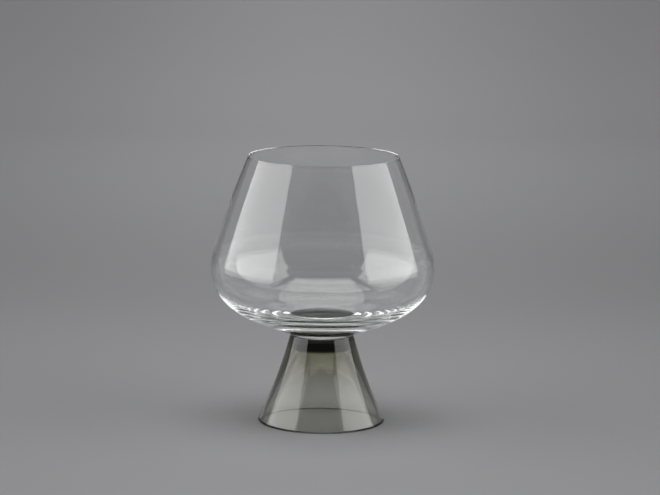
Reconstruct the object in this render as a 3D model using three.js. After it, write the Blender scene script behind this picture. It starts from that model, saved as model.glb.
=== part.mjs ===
// A brandy snifter in three pieces: a clear glass bowl with a thick base, a hollow smoke-grey glass
// foot, and the thin film of clear adhesive that bonds their two flat faces.
// Sizes are in millimetres and +Z is up. The origin is the middle of the circle the foot stands on.

import * as THREE from "three";

const { degToRad, lerp } = THREE.MathUtils;

// The foot: a hollow cone, solid at the top, with a wall that thickens upwards. Its outside bows in
// by the waist, measured from the straight line between its two edges.
const footHeight = 39.1;
const footBaseRadius = 28.6;
const footWaist = 1;
const footRimOuterRound = 0.4;
const footRimInnerRound = 0.6;

// The foot's cavity. Its side bows out a little between its base and its shoulder, which is a round
// about a circle at the shoulder's height, and it closes in a shallow dome of this angle at its edge.
const cavityBaseRadius = 26.8;
const cavityShoulderRadius = 12.2;
const cavityShoulderHeight = 29.6;
const cavityShoulderRound = 4;
const cavityBow = 0.25;
const cavityDomeAngle = degToRad(15);

// The joint: two flat faces of one radius, and the film between them, which stops short of the edge
const jointRadius = 14.2;
const bondThickness = 0.1;
const bondSetback = 0.25;

// The bowl, with its heights above its flat face
const bowlHeight = 80.8;
const bellyHeight = 30.8;
const baseThickness = 9.6;
const rimRadius = 33.6;
const bellyRadius = 50.2;
const rimWall = 0.7;
const bellyWall = 1.75;
const undersideWall = 1.05;

// The belly's round shoulder turns from the underside to the side, between these angles from level
const shoulderRadius = 23;
const shoulderLowAngle = degToRad(-22);
const shoulderTopAngle = degToRad(17.5);

// The underside is one curve, which rises from the joint at this angle and has a pull at each end
const undersideRise = degToRad(23.7);
const undersideJointPull = 16.5;
const undersideBellyPull = 13.3;

// The floor inside the bowl is one curve too, level at the axis
const floorBellyPull = 19.7;
const floorCentrePull = 9.9;

// Facets round the glass, and along each stretch of a profile
const turnSteps = 72;
const undersideSteps = 10;
const lowShoulderSteps = 3;
const highShoulderSteps = 2;
const sideSteps = 8;
const rimSteps = 2;
const floorSteps = 12;
const footWallSteps = 8;
const footRimSteps = 2;
const cavityShoulderSteps = 4;
const cavityDomeSteps = 3;

const quarterTurn = Math.PI / 2;
const halfTurn = Math.PI;

const clearGlass = new THREE.MeshStandardMaterial({ color: 0xf4f6f6, roughness: 0.02, metalness: 0 });
const clearAdhesive = new THREE.MeshStandardMaterial({ color: 0xeef0ea, roughness: 0.1, metalness: 0 });
const smokeGlass = new THREE.MeshStandardMaterial({ color: 0x5d5e57, roughness: 0.02, metalness: 0 });

// Points of a profile: x is the distance from the axis and y is the height
const point = (radius, height) => new THREE.Vector2(radius, height);
const onAxis = (height) => point(0, height);

// A point moved along a heading, where 0 is outward and a quarter turn is up
function moved(from, heading, length) {
  return point(from.x + length * Math.cos(heading), from.y + length * Math.sin(heading));
}

function headingTo(end, start) {
  return end.clone().sub(start).angle();
}

// The points of an arc, or of the inner face of a wall that follows it and changes evenly
function arcPoints({ centre, radius, from, to }, steps, wallFrom = 0, wallTo = wallFrom) {
  const points = [];
  for (let step = 0; step <= steps; step++) {
    const share = step / steps;
    points.push(moved(centre, lerp(from, to, share), radius - lerp(wallFrom, wallTo, share)));
  }
  return points;
}

// The arc that leaves a point on a heading and ends at another point, turning left
function arcBetween(start, startHeading, end) {
  const turn = 2 * (headingTo(end, start) - startHeading);
  const radius = start.distanceTo(end) / 2 / Math.sin(turn / 2);
  const from = startHeading - quarterTurn;
  return { centre: moved(start, startHeading + quarterTurn, radius), radius, from, to: from + turn };
}

function curvePoints(start, startHeading, startPull, end, endHeading, endPull, steps) {
  const curve = new THREE.CubicBezierCurve(
    start,
    moved(start, startHeading, startPull),
    moved(end, endHeading, endPull),
    end,
  );
  return curve.getPoints(steps);
}

function bowlProfile(faceHeight) {
  // The shoulder is one arc. Outside it is in two stretches, below and above the widest circle.
  // Inside it is in one, and the wall thickens evenly on the way up.
  const shoulderCentre = point(bellyRadius - shoulderRadius, faceHeight + bellyHeight);
  const shoulder = {
    centre: shoulderCentre,
    radius: shoulderRadius,
    from: shoulderLowAngle,
    to: shoulderTopAngle,
  };
  const outerShoulder = [
    ...arcPoints({ ...shoulder, to: 0 }, lowShoulderSteps),
    ...arcPoints({ ...shoulder, from: 0 }, highShoulderSteps).slice(1),
  ];
  const innerShoulder = arcPoints(
    shoulder, lowShoulderSteps + highShoulderSteps, undersideWall, bellyWall);

  // The rim is a full round, and the side is one arc from the shoulder that runs into it
  const rimRound = rimWall / 2;
  const rimCentre = point(rimRadius - rimRound, faceHeight + bowlHeight - rimRound);
  const sideStart = moved(shoulderCentre, shoulderTopAngle, shoulderRadius - rimRound);
  const side = arcBetween(sideStart, shoulderTopAngle + quarterTurn, rimCentre);
  side.radius += rimRound;
  const outerSide = arcPoints(side, sideSteps);
  const innerSide = arcPoints(side, sideSteps, bellyWall, rimWall);
  const rimOutside = { centre: rimCentre, radius: rimRound, from: side.to, to: quarterTurn };
  const rimInside = { ...rimOutside, from: quarterTurn, to: side.to + halfTurn };

  // The underside and the floor leave the shoulder downwards, and the glass between them is the base
  const jointEdge = point(jointRadius, faceHeight);
  const underside = curvePoints(
    jointEdge, undersideRise, undersideJointPull,
    outerShoulder[0], shoulderLowAngle - quarterTurn, undersideBellyPull, undersideSteps);
  const floor = curvePoints(
    innerShoulder[0], shoulderLowAngle - quarterTurn, floorBellyPull,
    onAxis(faceHeight + baseThickness), 0, floorCentrePull, floorSteps);

  return [
    onAxis(faceHeight),
    ...underside,
    ...outerShoulder.slice(1),
    ...outerSide.slice(1),
    ...arcPoints(rimOutside, rimSteps).slice(1),
    ...arcPoints(rimInside, rimSteps).slice(1),
    ...innerSide.reverse().slice(1),
    ...innerShoulder.reverse().slice(1),
    ...floor.slice(1),
  ];
}

function bondProfile(faceHeight) {
  const radius = jointRadius - bondSetback;
  return [
    onAxis(faceHeight),
    point(radius, faceHeight),
    point(radius, faceHeight + bondThickness),
    onAxis(faceHeight + bondThickness),
  ];
}

// The arc between two points that bows to the right of the straight line from start to end
function bowedArc(start, end, bow) {
  const halfChord = start.distanceTo(end) / 2;
  const radius = (halfChord ** 2 + bow ** 2) / 2 / bow;
  const middle = start.clone().lerp(end, 1 / 2);
  return { centre: moved(middle, headingTo(end, start) + quarterTurn, radius - bow), radius };
}

// The point at a height that lies this far from a centre, on one side of it: -1 is towards the axis
function pointBeside(centre, side, distance, height) {
  return point(centre.x + side * Math.sqrt(distance ** 2 - (height - centre.y) ** 2), height);
}

function footProfile() {
  const baseCorner = point(footBaseRadius, 0);
  const topEdge = point(jointRadius, footHeight);
  const outside = bowedArc(topEdge, baseCorner, footWaist);
  const cavity = bowedArc(
    point(cavityBaseRadius, 0), point(cavityShoulderRadius, cavityShoulderHeight), cavityBow);

  const faceBetween = (arc, start, end) => arcPoints(
    { ...arc, from: headingTo(start, arc.centre), to: headingTo(end, arc.centre) }, footWallSteps);

  // The dome's centre is on the axis, in line with the shoulder's own and the place where they meet
  const shoulderCentre = pointBeside(
    cavity.centre, 1, cavity.radius - cavityShoulderRound, cavityShoulderHeight);
  const domeHeading = quarterTurn - cavityDomeAngle;
  const centreSpacing = shoulderCentre.x / Math.sin(cavityDomeAngle);
  const dome = arcPoints(
    {
      centre: onAxis(shoulderCentre.y - centreSpacing * Math.cos(cavityDomeAngle)),
      radius: centreSpacing + cavityShoulderRound,
      from: quarterTurn,
      to: domeHeading,
    },
    cavityDomeSteps);
  const shoulder = arcPoints(
    {
      centre: shoulderCentre,
      radius: cavityShoulderRound,
      from: domeHeading,
      to: headingTo(shoulderCentre, cavity.centre),
    },
    cavityShoulderSteps);
  const innerRoundCentre = pointBeside(
    cavity.centre, 1, cavity.radius + footRimInnerRound, footRimInnerRound);
  const rimInside = arcPoints(
    {
      centre: innerRoundCentre,
      radius: footRimInnerRound,
      from: headingTo(innerRoundCentre, cavity.centre) - halfTurn,
      to: -quarterTurn,
    },
    footRimSteps);
  const outerRoundCentre = pointBeside(
    outside.centre, -1, outside.radius + footRimOuterRound, footRimOuterRound);
  const rimOutside = arcPoints(
    {
      centre: outerRoundCentre,
      radius: footRimOuterRound,
      from: -quarterTurn,
      to: headingTo(outside.centre, outerRoundCentre),
    },
    footRimSteps);

  return [
    onAxis(dome[0].y),
    ...dome.slice(1),
    ...shoulder.slice(1),
    ...faceBetween(cavity, shoulder.at(-1), rimInside[0]).slice(1),
    ...rimInside.slice(1),
    ...rimOutside,
    ...faceBetween(outside, rimOutside.at(-1), topEdge).slice(1),
    onAxis(footHeight),
  ];
}

// A solid turned about +Z, from a profile that starts and ends on the axis
function turned(name, profile, material) {
  const geometry = new THREE.LatheGeometry(profile, turnSteps);
  geometry.rotateX(quarterTurn);
  const mesh = new THREE.Mesh(geometry, material);
  mesh.name = name;
  return mesh;
}

const snifter = new THREE.Group();
snifter.name = "brandy_snifter";
snifter.add(turned("foot", footProfile(), smokeGlass));
snifter.add(turned("adhesive_film", bondProfile(footHeight), clearAdhesive));
snifter.add(turned("bowl", bowlProfile(footHeight + bondThickness), clearGlass));

export default snifter;
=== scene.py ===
"""A brandy snifter on a plain studio table: clear bowl, smoke-grey foot and the film that bonds them.

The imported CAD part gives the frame, and a finer turned mesh takes the place of each of its three
solids. The meshes have the solids' sizes, but for the bowl's rim, which is thinner and has a flat
edge. Sizes of the glass are in millimetres, and mm turns them into Blender's metres.
"""

import math

import bmesh
import bpy
from mathutils import Matrix, Vector


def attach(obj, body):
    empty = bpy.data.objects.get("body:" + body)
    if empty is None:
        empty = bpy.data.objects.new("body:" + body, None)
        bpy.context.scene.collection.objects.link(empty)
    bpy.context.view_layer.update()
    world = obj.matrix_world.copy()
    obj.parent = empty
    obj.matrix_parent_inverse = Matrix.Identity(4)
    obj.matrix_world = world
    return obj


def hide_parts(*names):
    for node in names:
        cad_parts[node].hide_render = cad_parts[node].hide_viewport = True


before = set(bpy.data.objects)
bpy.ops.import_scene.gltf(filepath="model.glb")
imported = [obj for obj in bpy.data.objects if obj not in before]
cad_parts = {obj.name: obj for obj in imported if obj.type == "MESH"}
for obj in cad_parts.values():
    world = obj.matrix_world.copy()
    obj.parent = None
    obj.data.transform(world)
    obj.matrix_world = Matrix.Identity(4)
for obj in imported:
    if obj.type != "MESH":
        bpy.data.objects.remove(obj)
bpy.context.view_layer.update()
scene = bpy.context.scene

mm = 0.001
quarter_turn = math.pi / 2

# The foot: a hollow cone, solid at the top, with a wall that thickens upwards. Its outside bows in
# by the waist, measured from the straight line between its two edges.
foot_height = 39.1
foot_base_radius = 28.6
foot_waist = 1
foot_rim_outer_round = 0.4
foot_rim_inner_round = 0.6

# The foot's cavity. Its side bows out a little between its base and its shoulder, which is a round
# about a circle at the shoulder's height, and it closes in a shallow dome of this angle at its edge.
cavity_base_radius = 26.8
cavity_shoulder_radius = 12.2
cavity_shoulder_height = 29.6
cavity_shoulder_round = 4
cavity_bow = 0.25
cavity_dome_angle = math.radians(15)

# The joint: two flat faces of one radius, and the film between them, which stops short of the edge
joint_radius = 14.2
bond_thickness = 0.1
bond_setback = 0.25
bowl_face_height = foot_height + bond_thickness

# The bowl, with its heights above its flat face
bowl_height = 80.8
belly_height = 30.8
base_thickness = 9.6
rim_radius = 33.6
belly_radius = 50.2
rim_wall = 0.5
rim_edge_round = 0.1
belly_wall = 1.75
underside_wall = 1.05

# The belly's round shoulder turns from the underside to the side, between these angles from level
shoulder_radius = 23
shoulder_low_angle = math.radians(-22)
shoulder_top_angle = math.radians(17.5)

# The underside is one curve, which rises from the joint at this angle and has a pull at each end.
# The floor inside the bowl is one curve too, level at the axis.
underside_rise = math.radians(23.7)
underside_joint_pull = 16.5
underside_belly_pull = 13.3
floor_belly_pull = 19.7
floor_centre_pull = 9.9

# Facets round the glass and along each stretch of a profile
turn_steps = 256
curve_steps = 64
side_steps = 32
shoulder_steps = 24
flat_steps = 8
wall_steps = 32
dome_steps = 12
small_round_steps = 6
rim_steps = 4

# Edges that turn by more than this stay sharp in the shading
sharp_angle = math.radians(25)

# How far, in millimetres, a face may lie from a joint face's height and still belong to it
level_tolerance = 0.001


# Points of a profile are (distance from the axis, height), and heading 0 is outward
def moved(start, heading, length):
    return (start[0] + length * math.cos(heading), start[1] + length * math.sin(heading))


def mixed(low, high, share):
    return low + (high - low) * share


def heading_between(start, end):
    return math.atan2(end[1] - start[1], end[0] - start[0])


def line_points(start, end, steps):
    return [tuple(mixed(start[axis], end[axis], step / steps) for axis in (0, 1))
            for step in range(steps + 1)]


def arc_points(centre, radius, low, high, steps, wall_low=0, wall_high=0):
    """An arc, or the inner face of a wall along it that changes evenly"""
    points = []
    for step in range(steps + 1):
        share = step / steps
        wall = mixed(wall_low, wall_high, share)
        points.append(moved(centre, mixed(low, high, share), radius - wall))
    return points


def arc_between(start, heading, end):
    """Centre, radius and end angles of the arc that leaves start on a heading and reaches end"""
    turn = 2 * (heading_between(start, end) - heading)
    radius = math.dist(start, end) / 2 / math.sin(turn / 2)
    low = heading - quarter_turn
    return moved(start, heading + quarter_turn, radius), radius, low, low + turn


def bowed_arc(start, end, bow):
    """Centre and radius of the arc that bows to the right of the straight line from start to end"""
    half_chord = math.dist(start, end) / 2
    radius = (half_chord**2 + bow**2) / 2 / bow
    middle = tuple((start[axis] + end[axis]) / 2 for axis in (0, 1))
    return moved(middle, heading_between(start, end) + quarter_turn, radius - bow), radius


def wall_points(centre, radius, start, end):
    """The stretch of a foot wall's arc between two points of it"""
    low, high = (heading_between(centre, point) % (2 * math.pi) for point in (start, end))
    return arc_points(centre, radius, low, high, wall_steps)


def point_beside(centre, side, distance, height):
    """The point at a height, this far from a centre and on one side of it: -1 is towards the axis"""
    return (centre[0] + side * math.sqrt(distance**2 - (height - centre[1])**2), height)


def curve_points(start, heading_out, pull_out, end, heading_in, pull_in):
    """A cubic curve that leaves each end on a heading, with a pull along it"""
    corners = (start, moved(start, heading_out, pull_out), moved(end, heading_in, pull_in), end)
    points = []
    for step in range(curve_steps + 1):
        share = step / curve_steps
        rest = 1 - share
        weights = (rest**3, 3 * rest**2 * share, 3 * rest * share**2, share**3)
        points.append(tuple(
            sum(weight * corner[axis] for weight, corner in zip(weights, corners))
            for axis in (0, 1)))
    return points


def bowl_profile():
    """From the axis out along the flat face, up the outside, over the rim and down the inside"""
    shoulder_centre = (belly_radius - shoulder_radius, bowl_face_height + belly_height)
    shoulder_arc = (
        shoulder_centre, shoulder_radius, shoulder_low_angle, shoulder_top_angle, shoulder_steps)
    outer_shoulder = arc_points(*shoulder_arc)
    inner_shoulder = arc_points(*shoulder_arc, underside_wall, belly_wall)

    # The rim is a flat band square to the wall, with a small round at each of its edges
    outer_edge_centre = (
        rim_radius - rim_edge_round, bowl_face_height + bowl_height - rim_edge_round)
    side_start = moved(shoulder_centre, shoulder_top_angle, shoulder_radius - rim_edge_round)
    side_centre, side_radius, low, high = arc_between(
        side_start, shoulder_top_angle + quarter_turn, outer_edge_centre)
    side_arc = (side_centre, side_radius + rim_edge_round, low, high, side_steps)
    outer_side = arc_points(*side_arc)
    inner_side = arc_points(*side_arc, belly_wall, rim_wall)
    inner_edge_centre = moved(outer_edge_centre, high, 2 * rim_edge_round - rim_wall)
    outer_edge = arc_points(
        outer_edge_centre, rim_edge_round, high, high + quarter_turn, small_round_steps)
    inner_edge = arc_points(
        inner_edge_centre, rim_edge_round, high + quarter_turn, high + math.pi, small_round_steps)
    rim_band = line_points(outer_edge[-1], inner_edge[0], rim_steps)

    # The underside and the floor leave the shoulder downwards, and the glass between is the base
    joint_edge = (joint_radius, bowl_face_height)
    flat_face = line_points((0, bowl_face_height), joint_edge, flat_steps)
    underside = curve_points(
        joint_edge, underside_rise, underside_joint_pull,
        outer_shoulder[0], shoulder_low_angle - quarter_turn, underside_belly_pull)
    floor = curve_points(
        inner_shoulder[0], shoulder_low_angle - quarter_turn, floor_belly_pull,
        (0, bowl_face_height + base_thickness), 0, floor_centre_pull)
    return (flat_face
            + underside[1:]
            + outer_shoulder[1:]
            + outer_side[1:]
            + outer_edge[1:]
            + rim_band[1:]
            + inner_edge[1:]
            + inner_side[::-1][1:]
            + inner_shoulder[::-1][1:]
            + floor[1:])


def film_profile():
    radius = joint_radius - bond_setback
    return (line_points((0, foot_height), (radius, foot_height), flat_steps)
            + line_points((radius, bowl_face_height), (0, bowl_face_height), flat_steps))


def foot_profile():
    """From the axis out over the cavity's dome, down inside, round the rim and up the outside"""
    base_corner = (foot_base_radius, 0)
    top_edge = (joint_radius, foot_height)
    outer_centre, outer_radius = bowed_arc(top_edge, base_corner, foot_waist)
    cavity_centre, cavity_radius = bowed_arc(
        (cavity_base_radius, 0), (cavity_shoulder_radius, cavity_shoulder_height), cavity_bow)

    # The dome's centre is on the axis, in line with the shoulder's own and the place where they meet
    shoulder_centre = point_beside(
        cavity_centre, 1, cavity_radius - cavity_shoulder_round, cavity_shoulder_height)
    dome_heading = quarter_turn - cavity_dome_angle
    centre_spacing = shoulder_centre[0] / math.sin(cavity_dome_angle)
    dome_centre = (0, shoulder_centre[1] - centre_spacing * math.cos(cavity_dome_angle))
    dome_radius = centre_spacing + cavity_shoulder_round
    dome = arc_points(dome_centre, dome_radius, quarter_turn, dome_heading, dome_steps)
    shoulder = arc_points(
        shoulder_centre, cavity_shoulder_round,
        dome_heading, heading_between(cavity_centre, shoulder_centre), dome_steps)

    # The foot stands on a narrow flat ring between these two rounds
    inner_round_centre = point_beside(
        cavity_centre, 1, cavity_radius + foot_rim_inner_round, foot_rim_inner_round)
    rim_inside = arc_points(
        inner_round_centre, foot_rim_inner_round,
        heading_between(cavity_centre, inner_round_centre) - math.pi, -quarter_turn,
        small_round_steps)
    outer_round_centre = point_beside(
        outer_centre, -1, outer_radius + foot_rim_outer_round, foot_rim_outer_round)
    rim_outside = arc_points(
        outer_round_centre, foot_rim_outer_round,
        -quarter_turn, heading_between(outer_round_centre, outer_centre), small_round_steps)
    return ([(0, dome[0][1])]
            + dome[1:]
            + shoulder[1:]
            + wall_points(cavity_centre, cavity_radius, shoulder[-1], rim_inside[0])[1:]
            + rim_inside[1:]
            + rim_outside
            + wall_points(outer_centre, outer_radius, rim_outside[-1], top_edge)[1:]
            + line_points(top_edge, (0, foot_height), flat_steps)[1:])


def smooth_object(name, builder):
    """A smooth-shaded object of the faces that the builder holds"""
    mesh = bpy.data.meshes.new(name)
    builder.to_mesh(mesh)
    builder.free()
    mesh.shade_smooth()
    smooth = bpy.data.objects.new(name, mesh)
    scene.collection.objects.link(smooth)
    return smooth


def turned(name, profile):
    """A closed solid turned about +Z, from a profile that starts and ends on the axis"""
    builder = bmesh.new()
    rings = []
    for radius, height in profile:
        steps = 1 if radius == 0 else turn_steps
        angles = [2 * math.pi * step / turn_steps for step in range(steps)]
        rings.append([
            builder.verts.new((
                radius * mm * math.cos(angle), radius * mm * math.sin(angle), height * mm))
            for angle in angles])
    for ring, following in zip(rings, rings[1:]):
        for step in range(turn_steps):
            after = (step + 1) % turn_steps
            if len(ring) == 1:
                builder.faces.new((ring[0], following[after], following[step]))
            elif len(following) == 1:
                builder.faces.new((ring[step], ring[after], following[0]))
            else:
                builder.faces.new((ring[step], ring[after], following[after], following[step]))
    bmesh.ops.recalc_face_normals(builder, faces=builder.faces)
    solid = smooth_object(name, builder)
    solid.data.set_sharp_from_angle(angle=sharp_angle)
    return solid


# Looks of both glasses. Density is absorption per metre, haze is a roughness, and the waves are
# drawn out along the height to this many times their size.
glass_ior = 1.515
smoke_colour = (0.165, 0.168, 0)
smoke_density = 126
glass_wave_size = 6
glass_wave_depth = 0.02
glass_wave_drawn_out = 3
glass_haze_size = 15
glass_clearest = 0
glass_haziest = 0.012

# Tints of one crossing of a surface. The thick base of the bowl is a trace greener than its rim,
# and the smoke glass is warmer towards the foot's solid top, from one height to another. Patches
# hold back up to the uneven share of a tint.
no_tint = (1, 1, 1)
bowl_base_tint = (0.985, 1, 0.992)
bowl_tint_patch = 20
bowl_uneven_share = 0.3
foot_top_tint = (1, 0.995, 0.87)
foot_tint_starts = 18
foot_tint_full = 33
foot_tint_patch = 8
foot_uneven_share = 0.15

# The adhesive: its own look at the film's edge, and the specks in it that its flat faces show.
# A speck starts where the soft noise passes one value, and is full at the other.
film_colour = (0.94, 0.95, 0.92)
film_tint = (0.9, 0.91, 0.86)
film_tint_patch = 1
film_uneven_share = 0.5
film_wave_size = 0.5
film_wave_depth = 0.005
film_haze_size = 2
film_clearest = 0.05
film_haziest = 0.15
speck_colour = (0.4, 0.4, 0.38)
speck_size = 1.2
speck_starts = 0.7
speck_full = 0.74

# Soft noise runs from 0 to 1, but nearly all of it lies between these two values
noise_detail = 1
noise_low = 0.35
noise_high = 0.65


def new_material(name):
    material = bpy.data.materials.new(name)
    material.use_nodes = True
    return material, material.node_tree


def axis_values(tree):
    """The X, Y and Z of a place in the object's own space"""
    place = tree.nodes.new("ShaderNodeTexCoord")
    axes = tree.nodes.new("ShaderNodeSeparateXYZ")
    tree.links.new(place.outputs["Object"], axes.inputs["Vector"])
    return axes.outputs


def noise_over(tree, feature_size, drawn_out=1):
    """Soft noise in the object's own space, with features of this size, drawn out along the height"""
    place = tree.nodes.new("ShaderNodeTexCoord")
    mapping = tree.nodes.new("ShaderNodeMapping")
    mapping.inputs["Scale"].default_value = (1, 1, 1 / drawn_out)
    noise = tree.nodes.new("ShaderNodeTexNoise")
    noise.inputs["Scale"].default_value = 1 / (feature_size * mm)
    noise.inputs["Detail"].default_value = noise_detail
    tree.links.new(place.outputs["Object"], mapping.inputs["Vector"])
    tree.links.new(mapping.outputs["Vector"], noise.inputs["Vector"])
    return noise.outputs["Fac"]


def ranged(tree, value, from_low, from_high, to_low, to_high, smooth=False):
    """The value carried from one range to another, and held at its ends"""
    stretch = tree.nodes.new("ShaderNodeMapRange")
    stretch.interpolation_type = "SMOOTHSTEP" if smooth else "LINEAR"
    stretch.inputs["From Min"].default_value = from_low
    stretch.inputs["From Max"].default_value = from_high
    stretch.inputs["To Min"].default_value = to_low
    stretch.inputs["To Max"].default_value = to_high
    tree.links.new(value, stretch.inputs["Value"])
    return stretch.outputs["Result"]


def patches(tree, feature_size, low, high):
    """Soft patches that run from one value to another"""
    return ranged(tree, noise_over(tree, feature_size), noise_low, noise_high, low, high)


def times(tree, first, second):
    product = tree.nodes.new("ShaderNodeMath")
    product.operation = "MULTIPLY"
    tree.links.new(first, product.inputs[0])
    tree.links.new(second, product.inputs[1])
    return product.outputs["Value"]


def tinted(tree, factor, colour, tint):
    """The colour, turned into the tint where the factor is 1"""
    mix = tree.nodes.new("ShaderNodeMix")
    mix.data_type = "RGBA"

    # A mix node has sockets of one name for each type of data, and these are the ones for colours
    mix.inputs[6].default_value = (*colour, 1)
    mix.inputs[7].default_value = (*tint, 1)
    tree.links.new(factor, mix.inputs["Factor"])
    return mix.outputs[2]


def add_smoke(tree):
    absorption = tree.nodes.new("ShaderNodeVolumeAbsorption")
    absorption.inputs["Color"].default_value = (*smoke_colour, 1)
    absorption.inputs["Density"].default_value = smoke_density
    tree.links.new(absorption.outputs["Volume"], tree.nodes["Material Output"].inputs["Volume"])


def add_waves(tree, feature_size, depth, drawn_out=1):
    """The slow, shallow waves that blown glass keeps"""
    bump = tree.nodes.new("ShaderNodeBump")
    bump.inputs["Distance"].default_value = depth * mm
    tree.links.new(noise_over(tree, feature_size, drawn_out), bump.inputs["Height"])
    tree.links.new(bump.outputs["Normal"], tree.nodes["Principled BSDF"].inputs["Normal"])


def add_haze(tree, feature_size, clearest, haziest):
    """The faint haze that wiping leaves on glass, in soft patches"""
    haze = patches(tree, feature_size, clearest, haziest)
    tree.links.new(haze, tree.nodes["Principled BSDF"].inputs["Roughness"])


def add_height_tint(tree, colour, tint, low, high, feature_size, uneven_share):
    """From the colour at one height to the tint at the other, a little unevenly"""
    climb = ranged(tree, axis_values(tree)["Z"], low * mm, high * mm, 0, 1)
    uneven = times(tree, climb, patches(tree, feature_size, 1 - uneven_share, 1))
    tree.links.new(
        tinted(tree, uneven, colour, tint),
        tree.nodes["Principled BSDF"].inputs["Base Color"])


def see_through(name):
    """A smooth clear material that bends light as glass does"""
    material, tree = new_material(name)
    shader = tree.nodes["Principled BSDF"]
    shader.inputs["Roughness"].default_value = 0
    shader.inputs["IOR"].default_value = glass_ior
    shader.inputs["Transmission Weight"].default_value = 1
    return material, tree


def polished_glass(name):
    material, tree = see_through(name)
    add_waves(tree, glass_wave_size, glass_wave_depth, glass_wave_drawn_out)
    add_haze(tree, glass_haze_size, glass_clearest, glass_haziest)
    return material, tree


def clear_glass():
    material, tree = polished_glass("clear_glass")
    add_height_tint(
        tree, no_tint, bowl_base_tint, foot_height + bowl_height, foot_height,
        bowl_tint_patch, bowl_uneven_share)
    return material


def smoke_glass():
    material, tree = polished_glass("smoke_glass")
    add_smoke(tree)
    add_height_tint(
        tree, no_tint, foot_top_tint, foot_tint_starts, foot_tint_full,
        foot_tint_patch, foot_uneven_share)
    return material


def clear_adhesive():
    material, tree = see_through("clear_adhesive")
    add_height_tint(
        tree, film_colour, film_tint, foot_height, bowl_face_height,
        film_tint_patch, film_uneven_share)
    add_waves(tree, film_wave_size, film_wave_depth)
    add_haze(tree, film_haze_size, film_clearest, film_haziest)
    return material


def bonded_face(name, smoke_behind=False):
    """A face that the film fills: light passes it as if the glass went on, but for a few specks"""
    material, tree = new_material(name)
    tree.nodes.remove(tree.nodes["Principled BSDF"])
    clear = tree.nodes.new("ShaderNodeBsdfTransparent")
    specks = ranged(tree, noise_over(tree, speck_size), speck_starts, speck_full, 0, 1)
    tree.links.new(tinted(tree, specks, no_tint, speck_colour), clear.inputs["Color"])
    tree.links.new(clear.outputs["BSDF"], tree.nodes["Material Output"].inputs["Surface"])
    if smoke_behind:
        add_smoke(tree)
    return material


def bonded_piece(name, profile, material, face_material, face_heights):
    """A turned piece whose level faces at these heights have the second material"""
    piece = turned(name, profile)
    piece.data.materials.append(material)
    piece.data.materials.append(face_material)
    vertices = piece.data.vertices
    for face in piece.data.polygons:
        levels = [vertices[index].co.z / mm for index in face.vertices]
        for height in face_heights:
            if all(math.isclose(level, height, abs_tol=level_tolerance) for level in levels):
                face.material_index = 1
    return piece


bowl = bonded_piece(
    "snifter_bowl", bowl_profile(), clear_glass(),
    bonded_face("bonded_face_of_bowl"), [bowl_face_height])
foot = bonded_piece(
    "snifter_foot", foot_profile(), smoke_glass(),
    bonded_face("bonded_face_of_foot", smoke_behind=True), [foot_height])
film = bonded_piece(
    "bond_film", film_profile(), clear_adhesive(),
    bonded_face("bonded_faces_of_film"), [foot_height, bowl_face_height])

for piece, node, slot in (
    (bowl, "bowl", "clear_glass"),
    (foot, "foot", "smoke_glass"),
    (film, "adhesive_film", "clear_adhesive"),
):
    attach(piece, "root")
    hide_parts(node)

# The camera, where the photograph was taken from. Its lengths are in millimetres too.
camera_place = Vector((3.216, -1208.63, 288.35))
camera_pitch = math.radians(9.848)
camera_roll = math.radians(0.621)
photo_width_in_pixels = 660
focal_length_in_pixels = 2743.4
sensor_width = 36
nearest_view = 10


def photograph_camera():
    """A camera that looks down by its pitch and leans by its roll"""
    forward = Vector((0, math.cos(camera_pitch), -math.sin(camera_pitch)))
    level_right = Vector((1, 0, 0))
    level_up = level_right.cross(forward)
    right = level_right * math.cos(camera_roll) + level_up * math.sin(camera_roll)
    up = level_up * math.cos(camera_roll) - level_right * math.sin(camera_roll)
    pose = Matrix((right, up, -forward)).transposed().to_4x4()
    pose.translation = camera_place * mm
    optics = bpy.data.cameras.new("camera")
    optics.sensor_width = sensor_width
    optics.lens = focal_length_in_pixels / photo_width_in_pixels * sensor_width
    optics.clip_start = nearest_view * mm
    camera = bpy.data.objects.new("camera", optics)
    camera.matrix_world = pose
    scene.collection.objects.link(camera)
    return camera


scene.camera = photograph_camera()

# The table runs back into a wall in one sweep. It lies a hair below the foot, so that the line under
# the foot's rim stays dark. From here on lengths are in metres, unless it says otherwise.
table_drop = 0.0002
table_half_width = 1.3
table_front = 1.5
table_back = 1.8
sweep_radius = 0.8
sweep_steps = 24
wall_height = 1.6

# The table's grey turns into the wall's between two distances behind the glass, and a painted shade
# darkens it by a share towards the sides
table_grey = 0.222
wall_grey = 0.6
table_blue_share = 1.02
table_roughness = 0.9
table_shine = 0.1
fade_start = 0.25
fade_end = 1.2
painted_side_shade_width = 0.3
painted_side_shade_share = 0.2

# Round the glass the table is a little paler by a share, a painted light that thins the glass's
# shadow, which fades out over a length
painted_light_radius = 0.04
painted_light_fade = 0.07
painted_light_share = 0.1

# Radii in millimetres, and what the table's grey is multiplied by there. Inside the hollow foot it
# is paler, a painted light where the real glass gathers light, and under the foot's rim it is darker,
# a painted contact shadow.
disc_reach = 40
painted_light_and_shadow_shares = ((23.5, 2.1), (26.5, 1), (27.4, 1), (27.7, 0.2), (28.3, 0.2), (28.6, 1))


def painted_light_and_shadow(tree, radius):
    """The painted light and painted shadow that the table's grey is multiplied by at this radius"""
    ramp = tree.nodes.new("ShaderNodeValToRGB")
    ramp.color_ramp.interpolation = "EASE"
    stops = ramp.color_ramp.elements
    while len(stops) < len(painted_light_and_shadow_shares):
        stops.new(1)
    for stop, (reach, share) in zip(stops, painted_light_and_shadow_shares):
        stop.position = reach / disc_reach
        stop.color = (share, share, share, 1)
    tree.links.new(ranged(tree, radius, 0, disc_reach * mm, 0, 1), ramp.inputs["Fac"])
    return ramp.outputs["Color"]


def distance_aside(tree):
    aside = tree.nodes.new("ShaderNodeMath")
    aside.operation = "ABSOLUTE"
    tree.links.new(axis_values(tree)["X"], aside.inputs[0])
    return aside.outputs["Value"]


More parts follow.
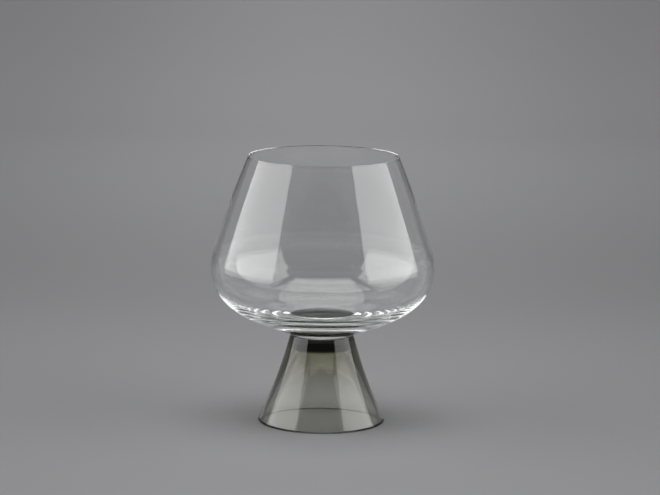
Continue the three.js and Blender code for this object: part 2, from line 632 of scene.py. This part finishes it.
def distance_from_axis(tree):
    place = tree.nodes.new("ShaderNodeTexCoord")
    level = tree.nodes.new("ShaderNodeVectorMath")
    level.operation = "MULTIPLY"
    level.inputs[1].default_value = (1, 1, 0)
    radius = tree.nodes.new("ShaderNodeVectorMath")
    radius.operation = "LENGTH"
    tree.links.new(place.outputs["Object"], level.inputs[0])
    tree.links.new(level.outputs["Vector"], radius.inputs[0])
    return radius.outputs["Value"]


def bluish(tree, grey):
    """A grey with a trace more blue"""
    colour = tree.nodes.new("ShaderNodeCombineColor")
    bluer = tree.nodes.new("ShaderNodeMath")
    bluer.operation = "MULTIPLY"
    bluer.inputs[1].default_value = table_blue_share
    tree.links.new(grey, bluer.inputs[0])
    tree.links.new(grey, colour.inputs["Red"])
    tree.links.new(grey, colour.inputs["Green"])
    tree.links.new(bluer.outputs["Value"], colour.inputs["Blue"])
    return colour.outputs["Color"]


def table_material():
    """Grey, paler towards the wall, which stands further from the lamps, with painted shade towards
    the sides, painted light round and inside the foot, and a painted shadow under the foot's rim
    """
    material, tree = new_material("grey_table")
    backward = axis_values(tree)["Y"]
    radius = distance_from_axis(tree)
    grey = ranged(tree, backward, fade_start, fade_end, table_grey, wall_grey, smooth=True)
    # painted shade, darker towards the sides
    painted_side_shade = ranged(tree, distance_aside(tree), 0, painted_side_shade_width, 1, 1 - painted_side_shade_share, smooth=True)
    # painted light round the glass, which thins its shadow on the table
    painted_light = ranged(
        tree, radius, painted_light_radius, painted_light_radius + painted_light_fade, 1 + painted_light_share, 1, smooth=True)
    grey = times(tree, grey, painted_side_shade)
    grey = times(tree, grey, painted_light)
    # painted light inside the hollow foot, and a painted contact shadow under its rim
    grey = times(tree, grey, painted_light_and_shadow(tree, radius))
    shader = tree.nodes["Principled BSDF"]
    shader.inputs["Roughness"].default_value = table_roughness
    shader.inputs["Specular IOR Level"].default_value = table_shine
    tree.links.new(bluish(tree, grey), shader.inputs["Base Color"])
    return material


def sweep():
    """The table and the wall behind it, in one sheet"""
    bend_centre = (table_back - sweep_radius, sweep_radius)
    outline = [
        (-table_front, 0),
        *arc_points(bend_centre, sweep_radius, -quarter_turn, 0, sweep_steps),
        (table_back, wall_height),
    ]
    builder = bmesh.new()
    left = [builder.verts.new((-table_half_width, y, z - table_drop)) for y, z in outline]
    right = [builder.verts.new((table_half_width, y, z - table_drop)) for y, z in outline]
    for step in range(len(outline) - 1):
        builder.faces.new((left[step], right[step], right[step + 1], left[step + 1]))
    table = smooth_object("table", builder)
    table.data.materials.append(table_material())
    return table


sweep()

# Softboxes: where each one is, its width and height, and its radiance
left_place = (-0.6, -0.1, 0.48)
left_radiance = 2.15
right_place = (0.6, -0.18, 0.48)
right_radiance = 2.25
side_size = (0.8, 0.86)
top_place = (0, -0.05, 1.0)
top_size = (0.9, 0.9)
top_radiance = 2.7
rear_place = (0, 0.8, 1.1)
rear_size = (1.8, 0.6)
rear_radiance = 0.5
rightward = (1, 0, 0)
leftward = (-1, 0, 0)
downward = (0, 0, -1)


def softbox(name, place, facing, size, radiance):
    """A rectangular lamp that faces along a direction, with its width level"""
    width, height = size
    lamp = bpy.data.lights.new(name, "AREA")
    lamp.shape = "RECTANGLE"
    lamp.size = width
    lamp.size_y = height
    lamp.energy = radiance * width * height * math.pi
    holder = bpy.data.objects.new(name, lamp)
    holder.location = place
    holder.rotation_euler = Vector(facing).to_track_quat("-Z", "Y").to_euler()
    scene.collection.objects.link(holder)


softbox("left_softbox", left_place, rightward, side_size, left_radiance)
softbox("right_softbox", right_place, leftward, side_size, right_radiance)
softbox("top_softbox", top_place, downward, top_size, top_radiance)
softbox("rear_softbox", rear_place, downward, rear_size, rear_radiance)

# The room's light from the sides and back and from its ceiling, and the share of it that is left
# in front. Front and sides are told apart by how far back a direction points, from -1 to 1.
room_strength = 0.27
room_blue_share = 1.02
ceiling_strength = 0.14
ceiling_starts = math.radians(34)
ceiling_reached = math.radians(44)
front_share = 0.4
front_ends = -0.6
side_starts = -0.2


def surround():
    """A dim room, darker towards its ceiling and on the camera's side"""
    world = bpy.data.worlds.new("surround")
    world.use_nodes = True
    tree = world.node_tree
    direction = tree.nodes.new("ShaderNodeTexCoord")
    axes = tree.nodes.new("ShaderNodeSeparateXYZ")
    tree.links.new(direction.outputs["Generated"], axes.inputs["Vector"])
    by_height = ranged(
        tree, axes.outputs["Z"], math.sin(ceiling_starts), math.sin(ceiling_reached),
        room_strength, ceiling_strength, smooth=True)
    by_depth = ranged(tree, axes.outputs["Y"], front_ends, side_starts, front_share, 1)
    background = tree.nodes["Background"]
    background.inputs["Color"].default_value = (1, 1, room_blue_share, 1)
    tree.links.new(times(tree, by_height, by_depth), background.inputs["Strength"])
    return world


scene.world = surround()

# Light runs a long way inside the glass before it leaves
longest_light_path = 64
scene.cycles.max_bounces = longest_light_path
scene.cycles.glossy_bounces = longest_light_path
scene.cycles.transmission_bounces = longest_light_path
scene.cycles.transparent_max_bounces = longest_light_path
scene.view_settings.view_transform = "Standard"
